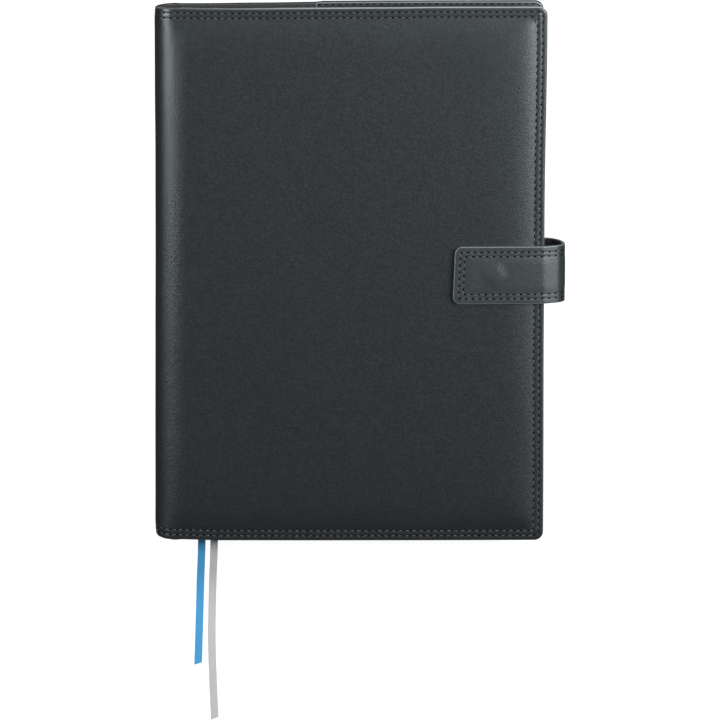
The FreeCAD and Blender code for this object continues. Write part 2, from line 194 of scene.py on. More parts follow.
threadLook = {
    "colour": "#33393B",
    "slant": 35,  # degrees
    "ribs": 3,
    "relief": (0.5, 0.08),
    "roughness": 0.42,
}
# painted shade: each needle hole is a shallow disc whose near-black colour stands for the shadow
# inside it
holeShadeLook = {
    "colour": "#050506",
    "fibre": 0.2,  # mm
    "relief": (0.4, 0.05),
    "roughness": 0.95,
    "shine": 0.1,
}


def makeThread(name, look):
    # bonded nylon thread: two strands twisted, so a slanting rib and a waxy glint
    material, tree, shader = newMaterial(name, look["colour"], look["roughness"])
    where = addNode(tree, "ShaderNodeTexCoord").outputs["UV"]
    slant = addNode(tree, "ShaderNodeMapping",
                    {"Rotation": (0, 0, math.radians(look["slant"]))}, {"Vector": where})
    twist = addNode(tree, "ShaderNodeTexWave", {"Scale": look["ribs"]},
                    {"Vector": slant.outputs[0]})
    strength, depth = look["relief"]
    bump = addNode(tree, "ShaderNodeBump", {"Strength": strength, "Distance": depth * mm},
                   {"Height": twist.outputs["Fac"]})
    tree.links.new(bump.outputs["Normal"], shader.inputs["Normal"])
    return material


def paintHoleShade(name, look):
    # the pit that the needle leaves: a near-black colour painted as the shadow inside the hole,
    # with a fibre bump
    material, tree, shader = newMaterial(name, look["colour"], look["roughness"],
                                         Specular_IOR_Level=look["shine"])
    where = addNode(tree, "ShaderNodeTexCoord").outputs["Object"]
    fibre = addNode(tree, "ShaderNodeTexNoise", {"Scale": perMillimetre(look["fibre"])},
                    {"Vector": where})
    strength, depth = look["relief"]
    bump = addNode(tree, "ShaderNodeBump", {"Strength": strength, "Distance": depth * mm},
                   {"Height": fibre.outputs["Fac"]})
    tree.links.new(bump.outputs["Normal"], shader.inputs["Normal"])
    return material


thread = makeThread("bonded nylon thread", threadLook)
paintedHoleShade = paintHoleShade("painted shade in a needle hole", holeShadeLook)


liningLook = {
    "warp": "#0F1112",
    "weft": "#363C3E",
    "pitch": 1.3,  # mm between threads, drawn coarser than real ones so that they show
    "skew": 45,  # degrees
    "relief": (0.6, 0.15),
    "roughness": 0.75,
    "sheen": (0.25, 0.5),  # weight and roughness
}
blueLook = {
    "warp": "#2172A4",
    "weft": "#4593B9",
    "pitch": 0.5,  # mm, drawn coarser too
    "skew": 0,
    "relief": (0.6, 0.06),
    "roughness": 0.5,
    "sheen": (0.25, 0.5),
}
greyLook = dict(blueLook, warp="#8F8F90", weft="#B4B4B4")
bandsPerTurn = 20  # of a wave texture: at a scale of 1 its bands repeat every 2 pi / 20


def makeCloth(name, look):
    # woven cloth: warp and weft cross over and under, each a rounded thread
    weight, softness = look["sheen"]
    material, tree, shader = newMaterial(name, look["warp"], look["roughness"],
                                         Sheen_Weight=weight, Sheen_Roughness=softness)
    where = addNode(tree, "ShaderNodeTexCoord").outputs["UV"]
    turned = addNode(tree, "ShaderNodeMapping",
                     {"Rotation": (0, 0, math.radians(look["skew"]))}, {"Vector": where})
    scale = perMillimetre(look["pitch"]) / bandsPerTurn * math.pi * 2
    warp = addNode(tree, "ShaderNodeTexWave", {"Scale": scale, "bands_direction": "X"},
                   {"Vector": turned.outputs[0]})
    weft = addNode(tree, "ShaderNodeTexWave", {"Scale": scale, "bands_direction": "Y"},
                   {"Vector": turned.outputs[0]})
    over = addNode(tree, "ShaderNodeMath", {"operation": "MULTIPLY"},
                   {0: warp.outputs["Fac"], 1: weft.outputs["Fac"]})
    tone = addNode(tree, "ShaderNodeMix",
                   {"data_type": "RGBA", 6: toLinear(look["warp"]), 7: toLinear(look["weft"])},
                   {"Factor": over.outputs[0]})
    tree.links.new(tone.outputs[2], shader.inputs["Base Color"])
    strength, depth = look["relief"]
    bump = addNode(tree, "ShaderNodeBump", {"Strength": strength, "Distance": depth * mm},
                   {"Height": over.outputs[0]})
    tree.links.new(bump.outputs["Normal"], shader.inputs["Normal"])
    return material


liningCloth = makeCloth("woven polyester lining", liningLook)
blueSatin = makeCloth("blue satin ribbon", blueLook)
greySatin = makeCloth("grey satin ribbon", greyLook)


# speck is the size of the fibres, cells or tumble marks, in mm
paperLook = {"low": "#CBC5B6", "high": "#BDB7A8", "speck": 1.2, "detail": (8, 0.5),
             "relief": (0.15, 0.05), "roughness": 0.85, "metallic": 0}
cardLook = {"low": "#1A1B1C", "high": "#2A2B2D", "speck": 0.8, "detail": (5, 0.7),
            "relief": (0.3, 0.05), "roughness": 0.6, "metallic": 0}
boardLook = dict(cardLook, low="#6E6860", high="#8B857A", speck=1.5, roughness=0.9)
foamLook = dict(cardLook, low="#8F8F8C", high="#B5B5B0", speck=0.6, roughness=0.95)
nickelLook = dict(cardLook, low="#B9B6AE", high="#C9C6BF", roughness=0.28, metallic=1)


def makePlain(name, look):
    # a finish with fine speckle: the fibres of paper, card and board, which leave them matt,
    # the cells of foam, or the marks of tumbling on a bright plating
    material, tree, shader = newMaterial(name, look["low"], look["roughness"],
                                         Metallic=look["metallic"])
    where = addNode(tree, "ShaderNodeTexCoord").outputs["Object"]
    detail, fineness = look["detail"]
    speck = addNode(tree, "ShaderNodeTexNoise",
                    {"Scale": perMillimetre(look["speck"]), "Detail": detail,
                     "Roughness": fineness}, {"Vector": where})
    tone = addNode(tree, "ShaderNodeMix",
                   {"data_type": "RGBA", 6: toLinear(look["low"]), 7: toLinear(look["high"])},
                   {"Factor": speck.outputs["Fac"]})
    tree.links.new(tone.outputs[2], shader.inputs["Base Color"])
    strength, depth = look["relief"]
    bump = addNode(tree, "ShaderNodeBump", {"Strength": strength, "Distance": depth * mm},
                   {"Height": speck.outputs["Fac"]})
    tree.links.new(bump.outputs["Normal"], shader.inputs["Normal"])
    return material


paper = makePlain("uncoated book paper", paperLook)
blackCard = makePlain("black leatherette card", cardLook)
greyBoard = makePlain("grey binder's board", boardLook)
softFoam = makePlain("soft polyurethane foam", foamLook)
nickel = makePlain("nickel plated magnet", nickelLook)
print("materials ready")


def startFresh():
    if bpy.context.object and bpy.context.object.mode != "OBJECT":
        bpy.ops.object.mode_set(mode="OBJECT")
    bpy.ops.object.select_all(action="DESELECT")


def finishMesh(piece, material, angle):
    startFresh()
    piece.select_set(True)
    bpy.context.view_layer.objects.active = piece
    bpy.ops.object.mode_set(mode="EDIT")
    bpy.ops.mesh.select_all(action="SELECT")
    bpy.ops.mesh.normals_make_consistent(inside=False)
    bpy.ops.object.mode_set(mode="OBJECT")
    bpy.ops.object.shade_smooth_by_angle(angle=math.radians(angle))
    piece.data.materials.clear()
    piece.data.materials.append(material)
    startFresh()


ribbonRoutes = {  # mm, from the head to the free end
    "ribbon_blue": (
        (-84, 112, 11), (-81.2, 68, 11), (-77.3, 22, 11), (-73.7, -24, 11), (-71.4, -64, 11),
        (-70.3, -96, 11), (-70, -119, 11), (-70.1, -130, 6.8), (-70.4, -141, 1.6),
        (-70.6, -152, 0.2), (-71, -167, 0.2), (-71.4, -181.1, 0.2),
    ),
    "ribbon_grey": (
        (-80.4, 112, 11), (-76.8, 70, 11), (-72.1, 24, 11), (-68.3, -22, 11), (-65.9, -62, 11),
        (-64.8, -95, 11), (-64.5, -119, 11), (-64.6, -130.5, 6.9), (-64.9, -141.5, 1.8),
        (-65.1, -152, 0.2), (-65.4, -167, 0.2), (-64.9, -186, 0.2), (-63.9, -206.2, 0.2),
    ),
}
ribbonShape = {
    "width": 3.4, "thick": 0.3,
    "shoulder": 0.93,  # where the flat part ends, as a share of half the width
    "slant": 0.35,  # of the cut at the free end
    "samples": 10, "smooth": 50,
}
ribbonSlots = {"ribbon_blue": blueSatin, "ribbon_grey": greySatin}


def linePoints(points):
    # the smooth line that a ribbon follows, read from its NURBS spline
    curve = bpy.data.curves.new("route", "CURVE")
    curve.dimensions = "3D"
    spline = curve.splines.new("NURBS")
    spline.points.add(len(points) - 1)
    for point, place in zip(spline.points, points):
        point.co = (*[c * mm for c in place], 1)
    spline.order_u = 3
    spline.use_endpoint_u = True
    curve.resolution_u = ribbonShape["samples"]
    holder = bpy.data.objects.new("route", curve)
    bpy.context.scene.collection.objects.link(holder)
    bpy.context.view_layer.update()
    mesh = bpy.data.meshes.new_from_object(holder)
    line = [v.co.copy() for v in mesh.vertices]
    bpy.data.objects.remove(holder)
    bpy.data.meshes.remove(mesh)
    return line


def makeRibbon(name):
    line = linePoints(ribbonRoutes[name])
    half = ribbonShape["width"] / 2
    thick = ribbonShape["thick"] / 2
    shoulder = half * ribbonShape["shoulder"]
    section = [(-half, 0), (-shoulder, thick), (-half / 2, thick), (0, thick),
               (half / 2, thick), (shoulder, thick), (half, 0), (shoulder, -thick),
               (0, -thick), (-shoulder, -thick)]
    verts = []
    travelled = [0]
    for i, point in enumerate(line):
        before = line[max(i - 1, 0)]
        after = line[min(i + 1, len(line) - 1)]
        heading = (after - before).normalized()
        across = heading.cross(Vector((0, 0, 1))).normalized()
        up = across.cross(heading)
        cut = ribbonShape["slant"] * mm if i == len(line) - 1 else 0
        for a, b in section:
            verts.append(point + across * a * mm + up * b * mm + heading * cut * a)
        if i:
            travelled.append(travelled[-1] + (point - line[i - 1]).length)
    count = len(section)
    faces = []
    for i in range(len(line) - 1):
        for j in range(count):
            k = (j + 1) % count
            faces.append((i * count + j, (i + 1) * count + j, (i + 1) * count + k, i * count + k))
    faces.append(tuple(range(count)))
    faces.append(tuple(reversed(range(len(verts) - count, len(verts)))))
    mesh = bpy.data.meshes.new(name + "_woven")
    mesh.from_pydata(verts, [], faces)
    uv = mesh.uv_layers.new(name="UVMap")
    for loop in mesh.loops:
        row, spot = divmod(loop.vertex_index, count)
        uv.data[loop.index].uv = ((section[spot][0] + half) * mm, travelled[row])
    piece = bpy.data.objects.new(name + "_woven", mesh)
    bpy.context.scene.collection.objects.link(piece)
    finishMesh(piece, ribbonSlots[name], ribbonShape["smooth"])
    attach(piece, "page_block")
    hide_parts(name)
    print(name, "length", round(travelled[-1] / mm), "mm")


for name in ribbonRoutes:
    makeRibbon(name)


skinLow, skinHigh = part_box("front_outer_leather")
spineLow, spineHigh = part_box("spine_leather")
west = spineLow.x / mm
hinge = skinLow.x / mm
east = skinHigh.x / mm
top = skinHigh.z / mm
halfHeight = skinHigh.y / mm
leatherThick = (spineHigh.x - spineLow.x) / mm
rimThick = (skinHigh.z - skinLow.z) / mm
bendShape = {"wide": 15, "high": 8, "steps": 60}  # the leather turns over a flattened curve
lineStep = 0.3  # mm each way, to find the direction of a line


def withLengths(points):
    lengths = [0]
    for a, b in zip(points, points[1:]):
        lengths.append(lengths[-1] + math.dist(a, b))
    return points, lengths


def alongLine(line, t):
    points, lengths = line
    i = min(max(bisect.bisect_right(lengths, t) - 1, 0), len(points) - 2)
    part = (t - lengths[i]) / (lengths[i + 1] - lengths[i])
    (ax, az), (bx, bz) = points[i], points[i + 1]
    return ax + (bx - ax) * part, az + (bz - az) * part


def placeOn(line, t):
    # a place on the line, and the way square to it on its right hand side
    x, z = alongLine(line, t)
    ax, az = alongLine(line, t - lineStep)
    bx, bz = alongLine(line, t + lineStep)
    run = math.dist((ax, az), (bx, bz))
    return x, z, (bz - az) / run, -(bx - ax) / run


def quarter(start, wide, high, steps):
    # a quarter of an ellipse that starts upright and ends level
    turns = [math.pi / 2 * i / steps for i in range(steps + 1)]
    return [(start[0] + wide * (1 - math.cos(a)), start[1] + high * math.sin(a)) for a in turns]


bendStart = top - bendShape["high"]
sideLine = withLengths([(west, top / 2)]
                       + quarter((west, bendStart), bendShape["wide"], bendShape["high"],
                                 bendShape["steps"]) + [(east, top)])
foreEnd = sideLine[1][-1]  # unrolled length of one side
flatAt = sideLine[1][-2]
hingeAt = next(t for (x, z), t in zip(*sideLine) if x >= hinge)
print("side unrolled", round(foreEnd, 1), "mm")


def sidePoint(side, s, y, depth):
    # a place on one side: s runs from the middle of the spine round its bend to the fore edge,
    # depth is measured inward from the outer face
    x, z, outX, outZ = placeOn(sideLine, s)
    x, z = x + outX * depth, z + outZ * depth
    if side == "back":
        z = top - z
    return Vector((x, y, z)) * mm


def mixed(low, high, amount):
    amount = min(max(amount, 0), 1)
    amount = amount * amount * (3 - 2 * amount)
    return low + (high - low) * amount


def risen(value, run):
    # 0 up to the start of the run, 1 past its end; a run is (start, length)
    return mixed(0, 1, (value - run[0]) / run[1])


def edgeFall(near, radius):
    # how far a rounded edge has fallen at a distance from it
    return radius - math.sqrt(radius ** 2 - (radius - near) ** 2) if near < radius else 0


def grooveDepth(near, seam, shape):
    # the thread draws a narrow groove along its seam
    return shape["groove"] * max(0, 1 - abs(near - seam) / shape["grooveWidth"])


def edgeSteps(steps, length, coarse):
    # places along one span, close together at both ends as the steps say
    inner = max(2, round((length - 2 * steps[-1]) / coarse))
    gap = (length - 2 * steps[-1]) / inner
    middle = [steps[-1] + gap * i for i in range(1, inner)]
    return list(steps) + middle + [length - e for e in reversed(steps)]


def gridPiece(name, columns, rows, place):
    # a sheet with a face on each side: place(s, y, within) gives the places of both faces
    startFresh()
    bpy.ops.mesh.primitive_grid_add(x_subdivisions=len(columns) - 1,
                                    y_subdivisions=len(rows) - 1, size=1)
    piece = bpy.context.object
    piece.name = name
    mesh = piece.data
    mesh.name = name
    bpy.ops.object.mode_set(mode="EDIT")
    bpy.ops.mesh.select_all(action="SELECT")
    bpy.ops.mesh.extrude_region()
    bpy.ops.object.mode_set(mode="OBJECT")
    rim = mesh.attributes.new("rim", "FLOAT", "POINT")
    places = []
    for i, vertex in enumerate(mesh.vertices):
        s = columns[round((vertex.co.x + 0.5) * (len(columns) - 1))]
        y = rows[round((vertex.co.y + 0.5) * (len(rows) - 1))]
        vertex.co, rim.data[i].value = place(s, y, vertex.select)
        places.append((s * mm, y * mm))
    uv = mesh.uv_layers.active or mesh.uv_layers.new(name="UVMap")
    for loop in mesh.loops:
        uv.data[loop.index].uv = places[loop.vertex_index]
    return piece


def roundCorner(a, b, radius):
    # turns square rings near a corner into arcs: a and b are distances from the two edges
    u, v = radius - a, radius - b
    if u <= 0 or v <= 0:
        return a, b
    ring = max(u, v)
    turn = min(u, v) / ring * math.pi / 4
    if u >= v:
        return radius - ring * math.cos(turn), radius - ring * math.sin(turn)
    return radius - ring * math.sin(turn), radius - ring * math.cos(turn)


skinShape = {  # mm; a run is (start, length)
    "corner": 4, "edgeRound": 0.8, "backRound": 0.7,
    "rim": 5.1, "slope": 6, "puff": 1.45, "droop": 0.3,  # the padding and the rim round it
    "meet": 4,  # how sharply the slopes of two edges meet
    "padRun": (-5, 11),  # the padding starts past the bend
    "turnIn": 5.6, "ply": 0.75, "thinRun": (0, 4),
    "rows": (2.2, 4.5), "groove": 0.1, "grooveWidth": 0.5,
    "wave": 0.12, "wavePitch": 38, "waveRun": 12, "waveSeed": 3,
    "reach": 0.25, "headFlare": 0.7, "headRun": (30, 80), "tailFlare": 0.3,
    "tailRun": (20, 90), "foreRun": (60, 110), "endRun": 30,
    "bulge": 0.5, "bulgeHead": (24, 91), "bulgeRun": (8, 10),
    "edge": (0, 0.06, 0.2, 0.4, 0.65, 0.9, 1.25, 1.75, 2.0, 2.2, 2.4, 2.65, 3.2, 4.0, 4.3, 4.5,
             4.7, 4.95, 5.25, 5.59, 5.61, 6.2, 7.0, 8.0, 9.2, 10.6, 12.4, 15, 18, 22),
    "bend": 20, "coarse": 4, "smooth": 48,
}
paleEdgeAndHeadHighlight = {  # how pale the cut edge is: a little everywhere, its own colour, plus a painted highlight along the head edge where the head light falls
    "run": (0.1, 0.45),
    "least": 0.2,
    "front": (0.35, (25, 60)),  # painted head highlight: its share at the head by the spine, and the run to full
    "back": (0.2, (77, 3)),
}
endShift = {  # mm that an end stands proud of the straight line, at places in mm along the side
    ("front", 1): ((0, -0.9), (5, -0.5), (10, -0.2), (17, -0.1), (27, -0.35), (45, -0.5),
                   (75, -0.3), (110, -0.2), (130, 0)),
    ("back", 1): ((0, -0.9), (5, -1.3), (10, -1.1), (17, -1.0), (27, -1.0), (56, -0.75),
                  (77.5, -0.5), (79, -0.05), (110, 0.08)),
    ("front", -1): ((0, -2.2), (4, -1.4), (7, -0.7), (10.5, -0.2), (15, 0), (22, 0.15),
                    (34, 0.6), (90, 0.8), (130, 0.9)),
    ("back", -1): ((0, -2.2), (4, -1.4), (7, -0.7), (10.5, -0.2), (15, 0), (22, 0.15),
                   (34, 0.6), (90, 0.8), (130, 0.9)),
}


def shiftedEnd(side, s, y):
    # the leather isn't cut dead straight: head and tail draw in and out along the side
    row = endShift[side, 1 if y > 0 else -1]
    amount = row[-1][1]
    for (low, a), (high, b) in zip(row, row[1:]):
        if s <= high:
            amount = mixed(a, b, (s - low) / (high - low))
            break
    share = risen(abs(y) - halfHeight, (-skinShape["endRun"], skinShape["endRun"]))
    return y + amount * share * (1 if y > 0 else -1)


def skinSquare(s, y):
    # distance to the nearest of the three free edges, and the place after rounding the corner
    toFore = foreEnd - s
    toEnd = halfHeight - abs(y)
    fore, end = roundCorner(toFore, toEnd, skinShape["corner"])
    return min(toFore, toEnd), foreEnd - fore, math.copysign(halfHeight - end, y)


def skinDrop(s, y):
    # how far the outer face lies under the padded middle
    shape = skinShape
    near = skinSquare(s, y)[0]
    # head and tail rims only sink where the padding is
    padHere = risen(s - hingeAt, shape["padRun"])
    sunkFore = math.exp(-max(foreEnd - s - shape["rim"], 0) / shape["slope"])
    sunkEnd = math.exp(-max(halfHeight - abs(y) - shape["rim"], 0) / shape["slope"]) * padHere
    meet = shape["meet"]
    drop = shape["puff"] * min((sunkFore ** meet + sunkEnd ** meet) ** (1 / meet), 1)
    drop += shape["droop"] * (1 - min(near / shape["rim"], 1))
    drop += edgeFall(near, shape["edgeRound"])
    for seam in shape["rows"]:
        drop += grooveDepth(near, seam, shape)
    flat = risen(near, (shape["rim"], shape["waveRun"]))
    spot = Vector((s, y, shape["waveSeed"])) / shape["wavePitch"]
    drop += flat * shape["wave"] * noise.noise(spot)
    return drop - spineShift(s, y)


def foreShift(side, s, y):
    # the front's fore edge stands past the back's, and flares a little towards head and tail
    if side == "back":
        return 0
    shape = skinShape
    flare = shape["reach"] + shape["headFlare"] * risen(y, shape["headRun"])
    flare += shape["tailFlare"] * risen(-y, shape["tailRun"])
    return flare * risen(s, shape["foreRun"])


def spineShift(s, y):
    # the spine widens towards the head
    start, length = skinShape["bulgeHead"]
    along = min(max((y - start) / length, 0), 1)
    return skinShape["bulge"] * along * (1 - risen(s, skinShape["bulgeRun"]))


def plyDepth(s, y):
    # inner face of the single ply over the padding
    return max(leatherThick, skinDrop(s, y) + skinShape["ply"])


def rimDepth(s):
    # inner face of the turned in rim, which thickens from the spine's single ply
    start, length = skinShape["thinRun"]
    return mixed(leatherThick, rimThick, (s - hingeAt - start) / length)


def headHighlightOnEdge(side, s, y):
    # the cut edge keeps a little paleness of its own everywhere; along the head a painted
    # highlight adds to it, least of all near the spine
    if y < 0 or foreEnd - s < halfHeight - y:
        return paleEdgeAndHeadHighlight["least"]
    low, run = paleEdgeAndHeadHighlight[side]
    return mixed(low, 1, (s - run[0]) / run[1])


def skinPlace(side):
    shape = skinShape

    def place(s, y, within):
        near, sRound, yRound = skinSquare(s, y)
        yRound = shiftedEnd(side, s, yRound)
        sRound += foreShift(side, s, y)
        if not within:
            # rim: the edge's own paleness plus a painted highlight of the head light along the
            # head edge
            rim = (1 - risen(near, paleEdgeAndHeadHighlight["run"])) * headHighlightOnEdge(side, s, y)
            return sidePoint(side, sRound, yRound, skinDrop(s, y)), rim
        depth = rimDepth(s) if near < shape["turnIn"] else plyDepth(s, y)
        depth -= edgeFall(near, shape["backRound"])
        return sidePoint(side, sRound, yRound, depth), 0

    return place


def sideColumns(end, steps, coarse):
    # from the middle of the spine to the fore edge
    start = flatAt
    columns = [start * i / skinShape["bend"] for i in range(skinShape["bend"] + 1)]
    flat = end - start - steps[-1]
    count = round(flat / coarse)
    columns += [start + flat * (i + 1) / count for i in range(count)]
    return columns + [end - e for e in reversed(steps[:-1])]


def joinSides(piece):
    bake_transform(piece)


def makeSkin(side, nodes):
    steps = skinShape["edge"]
    rows = [y - halfHeight for y in edgeSteps(steps, halfHeight * 2, skinShape["coarse"])]
    columns = sideColumns(foreEnd, steps, skinShape["coarse"])
    piece = gridPiece(side + "_leather_skin", columns, rows, skinPlace(side))
    finishMesh(piece, leather, skinShape["smooth"])
    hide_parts(*nodes)
    joinSides(piece)
    print(piece.name, len(piece.data.polygons), "faces")


makeSkin("front", ["front_outer_leather", "spine_front_bend", "spine_leather"])
makeSkin("back", ["back_outer_leather", "spine_back_bend"])

padShape = {
    "gap": 0.02, "pressed": 0.3, "pressedRun": 1.5,
    "edge": (0, 0.15, 0.5, 1.2, 2.2, 3.5, 5.5, 8, 12), "coarse": 5, "smooth": 50,
}


def makePad(side):
    # the sheet of foam between leather and board: full in the middle, pressed thin at its edges
    low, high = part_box(side + "_foam_pad")
    start = foreEnd - east + low.x / mm
    length = (high.x - low.x) / mm
    reach = high.y / mm
    boardDepth = min(low.z, high.z) / mm if side == "back" else top - high.z / mm
    boardDepth += (high.z - low.z) / mm

    def place(s, y, within):
        nearest = min(s - start, start + length - s, reach - abs(y))
        skin = plyDepth(s, y) + padShape["gap"]
        board = boardDepth - padShape["gap"]
        middle = (skin + board) / 2
        share = mixed(padShape["pressed"], 1, nearest / padShape["pressedRun"])
        return sidePoint(side, s, y, middle + (board - middle) * share * (1 if within else -1)), 0

    steps, coarse = padShape["edge"], padShape["coarse"]
    columns = [start + s for s in edgeSteps(steps, length, coarse)]
    rows = [y - reach for y in edgeSteps(steps, reach * 2, coarse)]
    piece = gridPiece(side + "_foam_core", columns, rows, place)
    finishMesh(piece, softFoam, padShape["smooth"])
    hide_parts(side + "_foam_pad")
    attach(piece, side + "_cover")


for side in ("front", "back"):
    makePad(side)
print("foam ready")


liningShape = {
    "inset": 0.6, "thick": 0.5, "gap": 0.02, "corner": 3.4,
    "edge": (0, 0.2, 0.6, 1.5, 4), "coarse": (6, 8), "smooth": 45,
}


def liningPlace(side):
    def place(s, y, within):
        inset = liningShape["inset"]
        fore, end = roundCorner(foreEnd - inset - s, halfHeight - inset - abs(y),
                                liningShape["corner"])
        depth = rimDepth(s) + liningShape["thick" if within else "gap"]
        yRound = shiftedEnd(side, s, math.copysign(halfHeight - inset - end, y))
        return sidePoint(side, foreEnd - inset - fore, yRound, depth), 0

    return place


def makeLining(side, nodes):
    steps = liningShape["edge"]
    reach = halfHeight - liningShape["inset"]
    along, across = liningShape["coarse"]
    rows = [y - reach for y in edgeSteps(steps, reach * 2, across)]
    columns = sideColumns(foreEnd - liningShape["inset"], steps, along)
    piece = gridPiece(side + "_woven_lining", columns, rows, liningPlace(side))
    finishMesh(piece, liningCloth, liningShape["smooth"])
    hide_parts(*nodes)
    joinSides(piece)


makeLining("front", ["front_lining", "spine_lining"])
makeLining("back", ["back_lining"])

sleeveShape = {
    "inset": 0.4, "thick": 0.6, "gap": 0.02, "rise": 1.2, "riseRun": (2.2, 4), "corner": 3.6,
    "edgeRound": 0.28, "row": 1.0, "groove": 0.12, "grooveWidth": 0.4, "wearRun": (0.15, 0.5),
    "edge": (0, 0.08, 0.3, 0.7, 0.85, 1.0, 1.15, 1.6, 2.4, 3.2, 4.4, 5.6, 7),
    "coarse": 6, "smooth": 45,
}
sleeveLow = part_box("front_sleeve")[0]
sleeveStart = foreEnd - (east - sleeveLow.x / mm)


def sleeveDepth(near, fromFree, within):
    # how far inward from the outer face of the side: pressed to the lining at the seam,
    # lifted over the card elsewhere
    shape = sleeveShape
    lift = shape["rise"] * risen(near, shape["riseRun"])
    base = rimThick + liningShape["thick"] + lift
    if not within:
        return base + shape["gap"]
    face = base + shape["thick"] - edgeFall(min(near, fromFree), shape["edgeRound"])
    return face - grooveDepth(near, shape["row"], shape)


def sleevePlace(side):
    def place(s, y, within):
        inset = sleeveShape["inset"]
        toFore = foreEnd - inset - s
        toEnd = halfHeight - inset - abs(y)
        fore, end = roundCorner(toFore, toEnd, sleeveShape["corner"])
        near = min(toFore, toEnd)
        fromFree = s - sleeveStart
        rim = 1 - risen(min(near, fromFree), sleeveShape["wearRun"])
        yRound = shiftedEnd(side, s, math.copysign(halfHeight - inset - end, y))
        depth = sleeveDepth(near, fromFree, within)
        return sidePoint(side, foreEnd - inset - fore, yRound, depth), rim

    return place


def makeSleeve(side):
    steps, coarse = sleeveShape["edge"], sleeveShape["coarse"]
    reach = halfHeight - sleeveShape["inset"]
    rows = [y - reach for y in edgeSteps(steps, reach * 2, coarse)]
    length = foreEnd - sleeveShape["inset"] - sleeveStart
    columns = [sleeveStart + s for s in edgeSteps(steps, length, coarse)]
    piece = gridPiece(side + "_sleeve_leather", columns, rows, sleevePlace(side))
    finishMesh(piece, sleeveLeather, sleeveShape["smooth"])
    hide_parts(side + "_sleeve")
    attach(piece, side + "_cover")


for side in ("front", "back"):
    makeSleeve(side)
print("lining and sleeves ready")


strapShape = {  # mm; a run is (start, length)
    "corner": 3.2, "edgeRound": 0.35, "wearRun": (0.1, 0.3),
    "rows": (2.4, 4.4), "groove": 0.06, "grooveWidth": 0.5, "puff": 0.12, "puffRun": (4.8, 3),
    "thin": 0.35, "rootRun": (2, 6), "tabRun": (-8, 8),  # the inner ply is thinned between these
    "bump": 0.42, "bumpRadius": 6.8, "bumpTop": 1.5,  # the swelling over the magnet
    "lean": 0.04,  # the tab's end isn't cut quite square
    "stand": 0.1,  # the side stands out from the fore edge
    "lowerWide": 8.4, "lowerSteps": 80,
    "turns": ((16, 4.2), (1.2, 21), (5.2, 24), (6.4, 90)),  # mm, degrees at the end of each run
    "turnSteps": 30, "apart": 1,
    "edge": (0, 0.08, 0.22, 0.45, 0.9, 1.6, 1.9, 2.15, 2.4, 2.65, 2.9, 3.6, 3.9, 4.15, 4.4,
             4.65, 4.9, 6),
    "along": 0.8, "coarse": 0.9, "smooth": 45,
}
rootLow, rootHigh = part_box("strap_root_inner")
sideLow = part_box("strap_side_outer")[0]
tabLow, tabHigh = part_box("strap_tab_inner")
magnetLow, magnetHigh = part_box("strap_magnet")
strapWidth = (rootHigh.y - rootLow.y) / mm
ply = (rootHigh.z - rootLow.z) / mm
strapMid = sideLow.x / mm + strapShape["stand"]  # the face where the two plies meet
rootLevel = rootLow.z / mm
tabLevel = tabHigh.z / mm


def turningLine(turns, steps):
    # runs that start level and tilt down evenly to the angle at the end of each one
    points = [(0, 0)]
    tilt = 0
    for length, angle in turns:
        for i in range(steps):
            here = math.radians(tilt + (angle - tilt) * (i + 0.5) / steps)
            x, z = points[-1]
            x += math.cos(here) * length / steps
            z -= math.sin(here) * length / steps
            points.append((x, z))
        tilt = angle
    return points


upperCurve = turningLine(strapShape["turns"], strapShape["turnSteps"])
upperWide, upperFall = upperCurve[-1]
turnLevel = tabLevel + upperFall
lowerCurve = quarter((0, 0), turnLevel - rootLevel, strapShape["lowerWide"],
                     strapShape["lowerSteps"])
loopLine = withLengths(
    [(rootLow.x / mm, rootLevel)]
    + [(strapMid - strapShape["lowerWide"] + b, rootLevel + a) for a, b in lowerCurve]
    + [(strapMid - upperWide + a, tabLevel + b) for a, b in reversed(upperCurve[:-1])]
    + [(tabLow.x / mm, tabLevel)])
strapLength = loopLine[1][-1]
sideMiddle = loopLine[1][len(lowerCurve)]
tabStart = sideMiddle + sum(length for length, angle in strapShape["turns"][1:])
magnetAt = strapLength - ((magnetLow.x + magnetHigh.x) / 2 - tabLow.x) / mm


def strapPoint(t, y, out):
    # t runs from the back seam round both bends to the end of the tab; out is away from the
    # face between the plies, towards the outside of the loop
    x, z, outX, outZ = placeOn(loopLine, t)
    return Vector((x + outX * out, y, z + outZ * out)) * mm


def strapFace(near, t, y, layer):
    # height of a ply's free face above the middle face
    shape = strapShape
    height = ply + shape["puff"] * risen(near, shape["puffRun"])
    if layer == "inner":
        # the inner ply is skived where the strap bends
        loop = risen(t, shape["rootRun"]) * (1 - risen(t - tabStart, shape["tabRun"]))
        height = ply * (1 - loop * (1 - shape["thin"]))
    height -= edgeFall(near, shape["edgeRound"])
    for seam in shape["rows"]:
        height -= grooveDepth(near, seam, shape)
    if layer == "outer":
        away = math.hypot(t - magnetAt, y)
        run = (shape["bumpTop"], shape["bumpRadius"] - shape["bumpTop"])
        height += shape["bump"] * (1 - risen(away, run))
    return height


def tabLean(t, y):
    share = risen(t, (tabStart, strapLength - tabStart))
    return strapShape["lean"] * y * share if t > tabStart else 0


def strapPlace(layer):
    def place(t, y, within):
        toEnd = strapLength - t
        toSide = strapWidth / 2 - abs(y)
        end, flank = roundCorner(toEnd, toSide, strapShape["corner"])
        near = min(toEnd, toSide)
        yRound = math.copysign(strapWidth / 2 - flank, y)
        tRound = strapLength - end - tabLean(t, yRound)
        face = 0 if within else strapFace(near, t, y, layer)
        rim = 1 - risen(near, strapShape["wearRun"])
        return strapPoint(tRound, yRound, face if layer == "outer" else -face), rim

    return place


